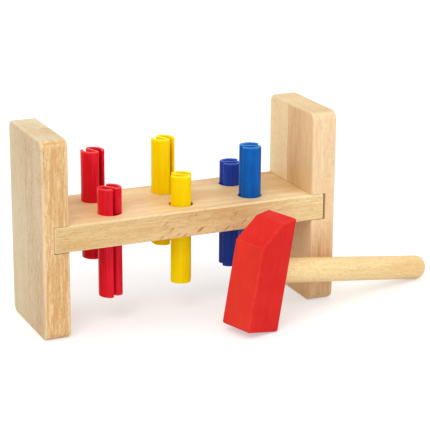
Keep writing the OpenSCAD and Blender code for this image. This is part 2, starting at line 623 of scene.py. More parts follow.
@dataclass(frozen=True)
class MouldedFinish:
    """Glossy moulded plastic: one body colour, a little unevenness and the lines of the mould.

    A struck end is paler over the second of struck_mm, and most over the first: partly scuffing,
    partly a painted highlight on its rims. Light goes glow_mm deep.
    """

    name: str
    body: Triple
    shallow: Triple
    scuff_and_highlight: Triple
    specular: float = 0.14
    roughness: float = 0.2
    tone: float = 0.5
    cloud_amount: float = 1.2
    line_amount: float = 2.4
    struck_mm: Point = (0.2, 1.1)
    scuff_least: float = 0.1
    scuff_play: float = 0.6
    cloud_roughness: float = 0.18
    grit_roughness: float = 0.08
    grit_height: float = 0.15
    relief: Point = (0.25, 0.1)
    glow: float = 0.8
    glow_mm: float = 3.0

    def material(self, foot: float, top: float) -> bpy.types.Material:
        """Builds the node material of this plastic, paler at a peg's ends from scuffs and a painted
        highlight.

        Args:
            foot: the height of the peg's lower end, in mm.
            top: the height of its upper end, in mm.

        Returns:
            The material, for this one peg.
        """
        g = Surface(self.name)
        local = g.place()
        clouds, lines, grit = (g.noise(local, p) for p in (MOULD_CLOUDS, MOULD_LINES, MOULD_GRIT))
        tone = (clouds - NOISE_MEAN) * self.cloud_amount + (lines - NOISE_MEAN) * self.line_amount
        colour = g.mix((tone + self.tone).share(), linear(*self.body), linear(*self.shallow))
        height, (near, far) = g.parts(local)[2], self.struck_mm
        # The peg's ends are made paler: partly scuffing, partly a painted highlight on the rims.
        struck = height.rise(top - far, top - near).most(1 - height.rise(foot + near, foot + far))
        scuffed_and_lit = (struck * (self.scuff_least + grit * self.scuff_play)).share()
        colour = g.mix(scuffed_and_lit, colour, linear(*self.scuff_and_highlight))
        roughness = self.roughness + (clouds - NOISE_MEAN) * self.cloud_roughness
        roughness = roughness + (grit - NOISE_MEAN) * self.grit_roughness
        return g.finished(colour, roughness, lines + grit * self.grit_height, self.relief, {
            "Specular IOR Level": self.specular,
            "Subsurface Weight": self.glow,
            "Subsurface Radius": (1.0, 1.0, 1.0),
            "Subsurface Scale": self.glow_mm * MM,
        })


@dataclass(frozen=True)
class PaintFinish:
    """Satin paint on wood: faint streaks along the fibres, and edges made paler by wear and a painted
    highlight.

    The nose, towards local -X, is painted lighter as if lit, and the side towards local -Y is
    painted darker as if in shade. nose_x and side_y say how far out these faces lie, in mm.
    """

    name: str
    turn: Triple
    centre: Triple
    nose_x: float
    side_y: float
    coat: Triple = (232, 50, 40)
    worn_and_lit: Triple = (236, 84, 62)
    deep: Triple = (206, 26, 26)
    tone: float = 0.45
    streak_amount: float = 1.0
    cloud_amount: float = 1.2
    nose_painted_light_amount: float = 0.22
    side_painted_shade_amount: float = 0.35
    face_depth: Point = (0.4, 0.1)
    wear_rise: Point = (0.4, 0.65)
    wear_least: float = 0.04
    wear_play: float = 0.16
    roughness: float = 0.46
    roughness_play: float = 0.2
    specular: float = 0.08
    relief: Point = (0.3, 0.15)
    streak_height: float = 0.6
    peel_height: float = 0.4

    def material(self) -> bpy.types.Material:
        """Builds the node material of this paint.

        Returns:
            The material.
        """
        g = Surface(self.name)
        local = g.place(self.centre, self.turn)
        streaks, clouds, peel = (g.noise(local, p) for p in (PAINT_STREAKS, PAINT_CLOUDS, PAINT_PEEL))
        tone = (streaks - NOISE_MEAN) * self.streak_amount + (clouds - NOISE_MEAN) * self.cloud_amount
        colour = g.mix((tone + self.tone).share(), linear(*self.coat), linear(*self.deep))
        # Painted light and shade: the nose face is made lighter and the side face darker.
        for along, out, amount, tint in (((-1, 0, 0), self.nose_x, self.nose_painted_light_amount, self.worn_and_lit),
                                         ((0, -1, 0), self.side_y, self.side_painted_shade_amount, self.deep)):
            face = Shade(along, *(out - inset for inset in self.face_depth))
            colour = g.mix(face.strength(g, local, streaks) * amount, colour, linear(*tint))
        # The edges are made paler: partly worn paint, partly a painted highlight.
        wear = g.noise(local, PAINT_WEAR).rise(*self.wear_rise) * self.wear_play + self.wear_least
        colour = g.mix((g.edge() * wear).share(), colour, linear(*self.worn_and_lit))
        roughness = self.roughness + (streaks + clouds - 2 * NOISE_MEAN) * self.roughness_play
        height = streaks * self.streak_height + peel * self.peel_height
        return g.finished(colour, roughness, height, self.relief, {"Specular IOR Level": self.specular})


# Meshes


@dataclass(frozen=True)
class EasedPrism:
    """A straight solid whose outline is a convex polygon with rounded corners and eased end rims.

    The outline lies in the local XY plane, through the middles of its corner arcs, anticlockwise,
    and one corner alone makes a circle. The solid runs from 0 to length along local Z. All sizes
    are in mm.
    """

    corners: tuple[Point, ...]
    corner_r: float
    length: float
    rim_r: float
    corner_steps: int = 12
    rim_steps: int = 6

    @property
    def is_rod(self) -> bool:
        """Whether the outline is one circle."""
        return len(self.corners) == 1

    def outline(self, inset: float) -> list[Point]:
        """Goes round the outline.

        Args:
            inset: how far inwards it is moved.

        Returns:
            Its points in order.
        """
        reach = self.corner_r - inset
        points = []
        for i, (cx, cy) in enumerate(self.corners):
            start, sweep, steps = 0.0, 2 * math.pi, 4 * self.corner_steps
            if not self.is_rod:
                start = self._facing(self.corners[i - 1], (cx, cy))
                end = self._facing((cx, cy), self.corners[(i + 1) % len(self.corners)])
                sweep, steps = (end - start) % (2 * math.pi), self.corner_steps
            for k in range(steps if self.is_rod else steps + 1):
                angle = start + sweep * k / steps
                points.append((cx + reach * math.cos(angle), cy + reach * math.sin(angle)))
        return points

    @staticmethod
    def _facing(a: Point, b: Point) -> float:
        """The direction that the side from a to b faces."""
        return math.atan2(b[0] - a[0], a[1] - b[1]) + math.pi

    def rings(self) -> list[Point]:
        """Each ring's height and inset, from one end to the other.

        Returns:
            The heights and insets in mm.
        """
        quarter = [math.pi / 2 * k / self.rim_steps for k in range(self.rim_steps + 1)]
        rim = [(self.rim_r * (1 - math.cos(a)), self.rim_r * (1 - math.sin(a))) for a in quarter]
        return rim + [(self.length - z, inset) for z, inset in reversed(rim)]

    def mesh(self, name: str, place: Matrix) -> bpy.types.Mesh:
        """Builds the mesh.

        Args:
            name: the mesh's name.
            place: where local space stands, in mm.

        Returns:
            A closed mesh in metres, with its eased faces marked by an attribute, but not a rod's.
        """
        build = bmesh.new()
        mark = build.faces.layers.float.new(EDGE_MARK)
        rings = []
        for height, inset in self.rings():
            rings.append([build.verts.new((place @ Vector((x, y, height))) * MM)
                          for x, y in self.outline(inset)])
        for low, high in zip(rings, rings[1:]):
            for i, corner in enumerate(low):
                j = (i + 1) % len(low)
                face = build.faces.new((corner, low[j], high[j], high[i]))
                narrow = min((low[j].co - corner.co).length, (high[j].co - low[j].co).length)
                face[mark] = float(narrow < EDGE_FACE_W * MM and not self.is_rod)
        for ring in (list(reversed(rings[0])), rings[-1]):
            build.faces.new(ring)
        bmesh.ops.recalc_face_normals(build, faces=build.faces)
        return plain_mesh(name, build)


def plain_mesh(name: str, build: bmesh.types.BMesh) -> bpy.types.Mesh:
    """Turns a mesh that is being built into a plain one.

    Args:
        name: the mesh's name.
        build: what was built, which is freed.

    Returns:
        The plain mesh.
    """
    mesh = bpy.data.meshes.new(name)
    build.to_mesh(mesh)
    build.free()
    return mesh


def add_object(name: str, mesh: bpy.types.Mesh) -> bpy.types.Object:
    """Puts a mesh in the scene as an object at the origin.

    Args:
        name: the object's name.
        mesh: its mesh.

    Returns:
        The object.
    """
    made = bpy.data.objects.new(name, mesh)
    bpy.context.scene.collection.objects.link(made)
    return made


def block_mesh(name: str, low: Triple, high: Triple) -> bpy.types.Mesh:
    """Makes a box for cutting with.

    Args:
        name: the mesh's name.
        low: its lowest corner in mm.
        high: its highest corner in mm.

    Returns:
        The mesh in metres.
    """
    build = bmesh.new()
    bmesh.ops.create_cube(build, size=1.0)
    for vertex in build.verts:
        vertex.co = Vector((low[i] if vertex.co[i] < 0 else high[i]) * MM for i in range(3))
    return plain_mesh(name, build)


def along_x(x: float, z: float = 0.0) -> Matrix:
    """Lays a prism along X from x, with its outline's X along Y and its Y upwards from z."""
    return Matrix(((0, 0, 1, x), (1, 0, 0, 0), (0, 1, 0, z), (0, 0, 0, 1)))


def bake(piece: bpy.types.Object) -> bpy.types.Object:
    """Replaces a piece's mesh by the plain one that its modifiers make, and removes them.

    Args:
        piece: the object.

    Returns:
        The same object.
    """
    graph = bpy.context.evaluated_depsgraph_get()
    result = bpy.data.meshes.new_from_object(piece.evaluated_get(graph), depsgraph=graph)
    piece.modifiers.clear()
    old, piece.data = piece.data, result
    bpy.data.meshes.remove(old)
    return piece


def cut(piece: bpy.types.Object, cutters: list[bpy.types.Mesh]) -> bpy.types.Object:
    """Cuts other meshes out of a piece, one after the other.

    Args:
        piece: the object to cut.
        cutters: closed meshes in the same space, which are used up.

    Returns:
        The same object, with its new mesh.
    """
    for mesh in cutters:
        tool = add_object("cutter", mesh)
        step = piece.modifiers.new("cut", "BOOLEAN")
        step.solver = "EXACT"
        step.operation = "DIFFERENCE"
        step.object = tool
        bake(piece)
        bpy.data.objects.remove(tool)
        bpy.data.meshes.remove(mesh)
    return piece


def dress(piece: bpy.types.Object, material: bpy.types.Material,
          sharp_from: float = SHARP_DEGREES) -> bpy.types.Object:
    """Gives a finished piece its material, and smooth shading between its sharp edges.

    Args:
        piece: the finished object.
        material: its material.
        sharp_from: the angle in degrees from which an edge stays sharp.

    Returns:
        The same object.
    """
    piece.data.materials.clear()
    piece.data.materials.append(material)
    for polygon in piece.data.polygons:
        polygon.material_index = 0
        polygon.use_smooth = True
    piece.data.set_sharp_from_angle(angle=math.radians(sharp_from))
    weigh = piece.modifiers.new("weigh", "WEIGHTED_NORMAL")
    weigh.keep_sharp = True
    return bake(piece)


def hand_over(piece: bpy.types.Object, body: str, node: str) -> None:
    """Makes a piece ride on its body and stand for its CAD node.

    Args:
        piece: the finished object.
        body: the CAD body it moves with.
        node: the CAD node it replaces.
    """
    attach(piece, body)
    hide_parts(node)
    log.info("%s: %d faces on %s, for %s", piece.name, len(piece.data.polygons), body, node)


# The bench


@dataclass(frozen=True)
class BenchSizes:
    """The bench's driving sizes in mm, as the CAD model has them, and what follows from them."""

    length: float = 188.0
    depth: float = 59.0
    height: float = 120.0
    panel_t: float = 16.0
    left_front_w: float = 30.5
    right_front_w: float = 34.0
    panel_corner_r: float = 5.0
    panel_edge_r: float = 1.2
    board_t: float = 16.0
    board_rise: float = 0.95
    housing_depth: float = 9.3
    board_end_gap: float = 0.9
    board_edge_r: float = 1.0
    column_pitch: float = 45.5
    column_shift: float = 2.0
    row_inset: float = 15.5
    peg_d: float = 14.4
    bore_clearance: float = 0.05
    floor_gap: float = 0.2

    @property
    def board_z(self) -> float:
        """The height of the board's underside."""
        return (self.height - self.board_t) / 2 + self.board_rise

    @property
    def board_top(self) -> float:
        """The height of the board's upper face."""
        return self.board_z + self.board_t

    @property
    def board_x(self) -> float:
        """Where the board's left end is."""
        return -self.length / 2 + self.panel_t - self.housing_depth

    @property
    def board_l(self) -> float:
        """The board's length, from one housing to the other."""
        return self.length - 2 * (self.panel_t - self.housing_depth) - self.board_end_gap

    @property
    def peg_l(self) -> float:
        """A peg's length."""
        return self.height - self.board_z - self.floor_gap

    @property
    def peg_travel(self) -> float:
        """How far a peg slides, from flush with one face of the board to flush with the other."""
        return self.peg_l - self.board_t

    def bore_at(self, column: int, row: Row) -> Point:
        """The middle of a bore, seen from above. The columns are -1, 0 and 1."""
        return (column * self.column_pitch - self.column_shift,
                row.value * (self.depth / 2 - self.row_inset))


@dataclass
class EndPanel:
    """One end panel, glued up from two staves, with the housing for the board across its inner face."""

    bench: BenchSizes
    side: Side
    front_stave_w: float
    front_finish: BeechFinish
    back_finish: BeechFinish
    fit_line: float = 0.18
    margin: float = 5.0

    @property
    def name(self) -> str:
        """The first word of this panel's pieces."""
        return self.side.name.lower()

    @property
    def middle_x(self) -> float:
        """Where the panel's middle is along the bench."""
        return self.side.value * (self.bench.length - self.bench.panel_t) / 2

    @property
    def reach(self) -> float:
        """How far a cutter goes to the front and the back."""
        return self.bench.depth / 2 + self.margin

    def slab(self, name: str) -> bpy.types.Object:
        """Makes the whole panel, before it is parted at its glue line.

        Args:
            name: the object's name.

        Returns:
            The object.
        """
        bench, r = self.bench, self.bench.panel_corner_r
        y, z = bench.depth / 2 - r, bench.height - r
        prism = EasedPrism(((-y, r), (y, r), (y, z), (-y, z)), r, bench.panel_t, bench.panel_edge_r)
        return add_object(name, prism.mesh(name, along_x(self.middle_x - bench.panel_t / 2)))

    def housing(self) -> bpy.types.Mesh:
        """Makes the cutter for the housing, which runs out through the front and back edges.

        Returns:
            The cutter.
        """
        bench, way = self.bench, self.side.value
        inner = self.middle_x - way * bench.panel_t / 2
        ends = sorted((inner + way * (bench.housing_depth + self.fit_line), inner - way * self.margin))
        return block_mesh("housing", (ends[0], -self.reach, bench.board_z - self.fit_line),
                          (ends[1], self.reach, bench.board_top + self.fit_line))

    def stave(self, row: Row, finish: BeechFinish) -> bpy.types.Object:
        """Cuts one stave from the slab at the glue line.

        Args:
            row: whether it is the front stave or the back one.
            finish: its wood.

        Returns:
            The finished stave.
        """
        bench = self.bench
        piece = self.slab(f"{self.name}_panel_{row.name.lower()}_wood")
        glue_y = self.front_stave_w - bench.depth / 2
        ends = (glue_y, self.reach) if row is Row.FRONT else (-self.reach, glue_y)
        waste = block_mesh("waste", (self.middle_x - bench.panel_t, ends[0], -self.margin),
                           (self.middle_x + bench.panel_t, ends[1], bench.height + self.margin))
        return dress(cut(piece, [waste, self.housing()]), finish.material())

    def build(self) -> None:
        """Makes and hands over both staves."""
        for row, finish in ((Row.FRONT, self.front_finish), (Row.BACK, self.back_finish)):
            hand_over(self.stave(row, finish), "bench", f"{self.name}_panel_{row.name.lower()}_stave")


@dataclass
class PegBoard:
    """The board that the pegs are driven through, with its six bores."""

    bench: BenchSizes
    finish: BeechFinish
    margin: float = 2.0
    cutter_rim_r: float = 0.5
    bore_steps: int = 24

    def bores(self) -> list[bpy.types.Mesh]:
        """Makes the cutters for the bores.

        Returns:
            The six cutters.
        """
        bench = self.bench
        rod = EasedPrism(CENTRED, bench.peg_d / 2 + bench.bore_clearance, bench.board_t + 2 * self.margin,
                         self.cutter_rim_r, self.bore_steps)
        places = [(*bench.bore_at(column, row), bench.board_z - self.margin)
                  for column in (-1, 0, 1) for row in Row]
        return [rod.mesh("bore", Matrix.Translation(place)) for place in places]

    def build(self) -> None:
        """Makes the board, bores it and hands it over."""
        bench, r = self.bench, self.bench.board_edge_r
        y, z = bench.depth / 2 - r, bench.board_t / 2 - r
        prism = EasedPrism(((-y, -z), (y, -z), (y, z), (-y, z)), r, bench.board_l, r)
        place = along_x(bench.board_x, bench.board_z + bench.board_t / 2)
        piece = add_object("peg_board_wood", prism.mesh("peg_board_wood", place))
        dress(cut(piece, self.bores()), self.finish.material())
        hand_over(piece, "bench", "peg_board")


# The pegs


@dataclass
class PegTree:
    """The Geometry Nodes tree of a peg: a grid that is wrapped round the wall of an S.

    The grid's columns follow the wall from one arm's free end to the other's, and its rows go
    round the wall's upright, round-cornered section. The S's bar lies along X. The tree's inputs
    are in metres and radians.
    """

    cap_steps: int = 6
    arm_steps: int = 36
    bend_steps: int = 16
    rim_steps: int = 6
    round_guard: float = 0.01
    merge_m: float = 2e-6
    tree: bpy.types.NodeTree = field(init=False)
    ids: dict[str, str] = field(init=False, default_factory=dict)

    NUMBERS = ("Diameter", "Wall", "Bend Radius", "Open Angle", "Length", "Rim Radius", "Turn",
               "Way Up")
    KINDS = {**dict.fromkeys(NUMBERS, "NodeSocketFloat"),
             "Place": "NodeSocketVector", "Material": "NodeSocketMaterial"}

    def __post_init__(self) -> None:
        """Builds the tree once, for every peg to use."""
        self.tree = bpy.data.node_groups.new("s_peg", "GeometryNodeTree")
        face = self.tree.interface
        for name, kind in self.KINDS.items():
            self.ids[name] = face.new_socket(name=name, in_out="INPUT", socket_type=kind).identifier
        face.new_socket(name="Peg", in_out="OUTPUT", socket_type="NodeSocketGeometry")
        self._nodes(Graph(self.tree))

    def _nodes(self, g: Graph) -> None:
        """Adds the nodes: the grid, the wall's path and section, and the peg's place.

        Args:
            g: the tree's graph.
        """
        entry = g.node("NodeGroupInput")
        given = {name: Value(g, entry.outputs[name]) for name in self.ids}
        half = self.cap_steps + self.arm_steps + self.bend_steps + 1
        columns, rows = 2 * half, 4 * (self.rim_steps + 1) + 1
        grid = g.node("GeometryNodeMeshGrid", None,
                      {"Size X": 1.0, "Size Y": 1.0, "Vertices X": columns, "Vertices Y": rows})
        spot = g.parts(g.node("GeometryNodeInputPosition").outputs[0])
        column = (spot[0] + 0.5) * (columns - 1)
        row = (spot[1] + 0.5) * (rows - 1)
        middle, facing, half_w, drop = self._path(given, column, half)
        sideways, height = self._section(given, row, half_w, drop)
        x = middle[0] + facing.cosine() * sideways
        y = (middle[1] + facing.sine() * sideways) * given["Way Up"]
        z = height * given["Way Up"] + given["Length"] * 0.5
        where = g.node("ShaderNodeCombineXYZ", None, {0: x, 1: y, 2: z})
        bent = g.node("GeometryNodeSetPosition", None,
                      {"Geometry": grid.outputs["Mesh"], "Position": where.outputs[0]})
        closed = g.node("GeometryNodeMergeByDistance", None,
                        {"Geometry": bent.outputs[0], "Distance": self.merge_m})
        around_z = g.node("ShaderNodeCombineXYZ", None, {2: given["Turn"]})
        placed = g.node("GeometryNodeTransform", None,
                        {"Geometry": closed.outputs[0], "Translation": given["Place"],
                         "Rotation": around_z.outputs[0]})
        real = g.node("GeometryNodeRealizeInstances", None, {"Geometry": placed.outputs[0]})
        done = g.node("GeometryNodeSetMaterial", None,
                      {"Geometry": real.outputs[0], "Material": given["Material"]})
        g.node("NodeGroupOutput", None, {0: done.outputs[0]})

    def _path(self, given: dict[str, Value], column: Value,
              half: int) -> tuple[tuple[Value, Value], Value, Value, Value]:
        """Follows the middle of the wall: round end, arm, bend, bar, and the same again turned about.

        Args:
            given: the tree's inputs by name.
            column: the grid's column, from 0.
            half: the number of columns in half of the S.

        Returns:
            The middle's X and Y, the direction of the wall's thickness, half the thickness
            there, and how far the rims drop at a round end.
        """
        wall, bend_r, rim = given["Wall"], given["Bend Radius"], given["Rim Radius"]
        arm_r = (given["Diameter"] - wall) * 0.5
        bend_x = (arm_r * (arm_r - 2 * bend_r)).root()
        meet = -bend_r.bearing(bend_x)

        step = column.least(2 * half - 1 - column)
        way = 1 - 2 * (column > half - 0.5)
        end = (1 - step / self.cap_steps).share() * (math.pi / 2)
        beyond = wall * 0.5 * end.sine()
        arm_share = ((step - self.cap_steps) / self.arm_steps).share()
        bend_share = ((step - self.cap_steps - self.arm_steps) / self.bend_steps).share()
        free = given["Open Angle"] - math.pi
        arm_angle = free + (meet - free) * arm_share - beyond / arm_r
        bend_angle = meet + (math.pi / 2 - meet) * bend_share
        on_bend = bend_share > 0
        facing = arm_angle + (bend_angle - arm_angle) * on_bend
        reach = arm_r + (bend_r - arm_r) * on_bend
        x = (bend_x * on_bend + reach * facing.cosine()) * way
        y = (reach * facing.sine() - bend_r * on_bend) * way
        near = (1 - (wall * 0.5 - beyond) / rim).share()
        return (x, y), facing, wall * 0.5 * end.cosine(), rim * (1 - (1 - near * near).root())

    def _section(self, given: dict[str, Value], row: Value, half_w: Value,
                 drop: Value) -> tuple[Value, Value]:
        """Goes round the wall's upright section, a tall rectangle with rounded corners.

        The corners have numbers from 0: outer and inner ones at the top, then inner and outer
        ones at the bottom, and 4 is the first again.

        Args:
            given: the tree's inputs by name.
            row: the grid's row, from 0.
            half_w: half the wall's thickness.
            drop: how far the rims are lowered.

        Returns:
            The distance from the wall's middle and the height above the middle of the peg.
        """
        corner = (row / (self.rim_steps + 1) + self.round_guard).whole()
        turn = (corner + (row - corner * (self.rim_steps + 1)) / self.rim_steps) * (math.pi / 2)
        inner = (corner > 0.5) * (corner < 2.5)
        lower = (corner > 1.5) * (corner < 3.5)
        corner_r = given["Rim Radius"].least(half_w)
        sideways = (1 - 2 * inner) * (half_w - corner_r) + corner_r * turn.cosine()
        height = (1 - 2 * lower) * (given["Length"] * 0.5 - corner_r - drop) + corner_r * turn.sine()
        return sideways, height

    def piece(self, name: str, sizes: dict[str, object]) -> bpy.types.Object:
        """Runs the tree for one peg.

        Args:
            name: the piece's name.
            sizes: the value of each named input.

        Returns:
            The peg as an object with a plain mesh.
        """
        made = add_object(name, bpy.data.meshes.new(name))
        step = made.modifiers.new("s_peg", "NODES")
        step.node_group = self.tree
        for key, value in sizes.items():
            step[self.ids[key]] = value
        return bake(made)


@dataclass
class Peg:
    """One plastic peg in its bore, raised by a share of its travel. Its angles are in degrees.

    Seen from above, a peg that was put in upside down is the mirror image of the others.
    """

    bench: BenchSizes
    colour: str
    row: Row
    column: int
    up_share: float
    turn: float
    finish: MouldedFinish
    wall: float = 2.0
    bend_r: float = 2.0
    open_angle: float = 52.0
    rim_r: float = 0.5
    sharp_from: float = 40.0
    upside_down: bool = False

    def build(self, tree: PegTree) -> None:
        """Makes the peg and hands it over.

        Args:
            tree: the tree that makes it.
        """
        bench, row = self.bench, self.row.name.lower()
        place = (*bench.bore_at(self.column, self.row),
                 bench.board_z + (self.up_share - 1) * bench.peg_travel)
        material = self.finish.material(place[2], place[2] + bench.peg_l)
        piece = tree.piece(f"{self.colour}_{row}_s_peg", {
            "Diameter": bench.peg_d * MM,
            "Wall": self.wall * MM,
            "Bend Radius": self.bend_r * MM,
            "Open Angle": math.radians(self.open_angle),
            "Length": bench.peg_l * MM,
            "Rim Radius": self.rim_r * MM,
            "Place": tuple(c * MM for c in place),
            "Turn": math.radians(self.turn),
            "Way Up": -1.0 if self.upside_down else 1.0,
            "Material": material,
        })
        dress(piece, material, self.sharp_from)
        hand_over(piece, f"{self.colour}_{row}", f"{self.colour}_peg_{row}")


# The hammer


@dataclass
class Hammer:
    """The hammer: a painted block with a bevelled nose and a turned handle glued into it."""

    bench: BenchSizes
    head_w: float = 24.0
    head_d: float = 24.0
    head_l: float = 69.0
    bevel_run: float = 14.0
    bevel_drop: float = 14.0
    crown_drop: float = 3.0
    edge_r: float = 1.4
    handle_d: float = 15.0
    handle_l: float = 132.0
    bore_l: float = 16.0
    rim_r: float = 3.5
    handle_up: float = 34.5
    glue_gap: float = 0.05
    inset: float = 61.0
    turn: float = 17.0
    gap: float = 0.8
    cutter_spare: float = 5.0
    cutter_rim_r: float = 0.2
    rod_steps: int = 20
    rod_rim_steps: int = 8

    @property
    def droop(self) -> float:
        """The angle at which both the head's edge and the handle's rim touch the floor.

        Returns:
            The angle in radians.
        """
        rim_x = self.edge_r + self.handle_l - self.rim_r
        rim_z = self.handle_up - self.edge_r - self.handle_d / 2 + self.rim_r
        return math.acos((self.rim_r - self.edge_r) / math.hypot(rim_x, rim_z)) - math.atan2(rim_x, rim_z)

    @property
    def place(self) -> Matrix:
        """Where the hammer lies, with its handle along local X and its head along local Z.

        Returns:
            The place in mm.
        """
        turn = math.radians(self.turn)
        reach = (self.inset - self.bench.panel_edge_r) * math.tan(turn)
        y = -self.bench.depth / 2 - (self.handle_d / 2 + self.gap) / math.cos(turn) - reach
        stand = Matrix.Translation((self.bench.length / 2 - self.inset, y, self.edge_r))
        return stand @ Matrix.Rotation(turn, 4, "Z") @ Matrix.Rotation(self.droop, 4, "Y")

    def handle_rod(self, diameter: float, length: float, rim_r: float) -> bpy.types.Mesh:
        """Makes a rod along the handle's axis, from the bottom of the bore.

        Args:
            diameter: its diameter.
            length: its length.
            rim_r: the radius of its rims.

        Returns:
            The rod.
        """
        start = Matrix.Translation((self.edge_r - self.bore_l, 0, self.handle_up - self.edge_r))
        rod = EasedPrism(CENTRED, diameter / 2, length, rim_r, self.rod_steps, self.rod_rim_steps)
        return rod.mesh("rod", self.place @ start @ Matrix.Rotation(math.pi / 2, 4, "Y"))

    def head(self) -> None:
        """Makes the head and hands it over."""
        nose_x = 2 * self.edge_r - self.head_d
        crown_z = self.head_l - 2 * self.edge_r
        side = (
            (0.0, 0.0),
            (0.0, crown_z),
            (nose_x + self.bevel_run - self.edge_r, crown_z - self.crown_drop),
            (nose_x, crown_z - self.crown_drop - self.bevel_drop),
            (nose_x, 0.0),
        )
        prism = EasedPrism(side, self.edge_r, self.head_w, self.edge_r)
        upright = Matrix(((1, 0, 0, 0), (0, 0, -1, self.head_w / 2), (0, 1, 0, 0), (0, 0, 0, 1)))
        piece = add_object("hammer_head_paint", prism.mesh("hammer_head_paint", self.place @ upright))
        cut(piece, [self.handle_rod(self.handle_d + 2 * self.glue_gap, self.bore_l + self.cutter_spare,
                                    self.cutter_rim_r)])
        finish = PaintFinish("red_paint", tuple(self.place.to_euler("XYZ")), tuple(self.place.translation),
                             nose_x=self.head_d - self.edge_r, side_y=self.head_w / 2)
        dress(piece, finish.material())
        hand_over(piece, "hammer", "hammer_head")

    def handle(self) -> None:
        """Makes the handle and hands it over."""
        rod = self.handle_rod(self.handle_d, self.bore_l + self.handle_l, self.rim_r)
        piece = add_object("hammer_handle_wood", rod)
        along = self.place @ Matrix.Rotation(math.pi / 2, 4, "Y")
        finish = BeechFinish("handle_beech", light=(248, 219, 160), deep=(230, 190, 126),
                             centre=tuple(self.place.translation), turn=tuple(along.to_euler("XYZ")),
                             band_width=4.0, band_amount=0.25, edge_amount=0.0)
        dress(piece, finish.material())
        hand_over(piece, "hammer", "hammer_handle")

    def build(self) -> None:
        """Makes both pieces of the hammer."""
        self.head()
        self.handle()


# The studio


@dataclass(frozen=True)
class Lamp:
    """A square soft light: where it hangs and the length of its side in metres, its power in watts."""

    name: str
    place: Triple
    size: float
    power: float

    def hang(self, aim: Triple) -> None:
        """Hangs the light.

        Args:
            aim: the point that it faces, in metres.
        """
        data = bpy.data.lights.new(self.name, "AREA")
        data.size = self.size
        data.energy = self.power
        made = bpy.data.objects.new(self.name, data)
        made.location = self.place
        way = Vector(aim) - Vector(self.place)
        made.rotation_euler = way.to_track_quat("-Z", "Y").to_euler()
        bpy.context.scene.collection.objects.link(made)


@dataclass
class Studio:
    """The pale floor, the soft lights and the camera at the photograph's viewing angle.

    The camera's angles are in degrees, and its distance and target in mm. The floor's radius
    and the point that the lamps face are in metres.
    """

    azimuth: float = -24.51
    elevation: float = 17.45
    roll: float = 0.40
    distance: float = 1023.32
    target: Triple = (26.82, 0.0, 54.20)
    focal_px: float = 1665.13
    image_px: float = 430.0
    sensor: float = 36.0
    clip_m: Point = (0.05, 20.0)
    floor_r: float = 6.0
    floor_sides: int = 64
    floor_tone: Colour = (0.86, 0.86, 0.86, 1.0)
    floor_glow: float = 1.56
    glow_share: float = 0.3
    room_light: float = 0.78
    aim: Triple = (0.0, 0.0, 0.05)
    lamps: tuple[Lamp, ...] = (
        Lamp("key", (-2.25, -2.55, 3.75), 2.1, 72.0),
        Lamp("side", (3.6, -2.7, 2.7), 1.8, 27.0),
        Lamp("top", (0.3, 0.45, 4.2), 2.7, 27.0),
    )

    def back(self) -> Vector:
        """The direction from the target to the camera."""
        a, e = math.radians(self.azimuth), math.radians(self.elevation)
        return Vector((math.sin(a) * math.cos(e), -math.cos(a) * math.cos(e), math.sin(e)))

    def camera(self) -> None:
        """Puts the camera where the photograph was taken from."""
        back = self.back()
        right = Vector((0, 0, 1)).cross(back).normalized()
        up = back.cross(right)
        r = math.radians(self.roll)
        right, up = math.cos(r) * right + math.sin(r) * up, -math.sin(r) * right + math.cos(r) * up
        data = bpy.data.cameras.new("camera")
        data.sensor_width = self.sensor
        data.lens = self.focal_px / self.image_px * self.sensor
        data.clip_start, data.clip_end = self.clip_m
        made = bpy.data.objects.new("camera", data)
        spin = Matrix((right, up, back)).transposed().to_4x4()
        spot = (Vector(self.target) + back * self.distance) * MM
        made.matrix_world = Matrix.Translation(spot) @ spin
        bpy.context.scene.collection.objects.link(made)
        bpy.context.scene.camera = made

    @staticmethod
    def seen(g: Graph) -> Value:
        """1 for what the camera sees itself, and 0 for light on its way."""
        return Value(g, g.node("ShaderNodeLightPath").outputs["Is Camera Ray"])

    def floor(self) -> None:
        """Makes the pale floor, which turns white to the camera but keeps the shadow."""
        build = bmesh.new()
        bmesh.ops.create_circle(build, cap_ends=True, radius=self.floor_r, segments=self.floor_sides)
        floor = add_object("floor", plain_mesh("floor", build))
        material = bpy.data.materials.new("floor_white")
        g = Graph(empty_tree(material))
        paint = g.node("ShaderNodeBsdfDiffuse", None, {"Color": self.floor_tone})
        glow = g.node("ShaderNodeEmission", None, {"Color": WHITE, "Strength": self.floor_glow})
        both = g.node("ShaderNodeMixShader", None,
                      {0: self.seen(g) * self.glow_share, 1: paint.outputs[0], 2: glow.outputs[0]})
        g.node("ShaderNodeOutputMaterial", None, {"Surface": both.outputs[0]})
        floor.data.materials.append(material)

    def world(self) -> None:
        """Sets the even light from all round, which is white to the camera."""
        world = bpy.data.worlds.new("soft_room")
        bpy.context.scene.world = world
        g = Graph(empty_tree(world))
        strength = self.room_light + self.seen(g) * (1 - self.room_light)
        light = g.node("ShaderNodeBackground", None, {"Color": WHITE, "Strength": strength})
        g.node("ShaderNodeOutputWorld", None, {"Surface": light.outputs[0]})

    def build(self) -> None:
        """Sets the whole studio."""
        bpy.context.scene.view_settings.view_transform = "Standard"
        self.camera()
        self.floor()
        self.world()
        for lamp in self.lamps:
            lamp.hang(self.aim)


# The whole


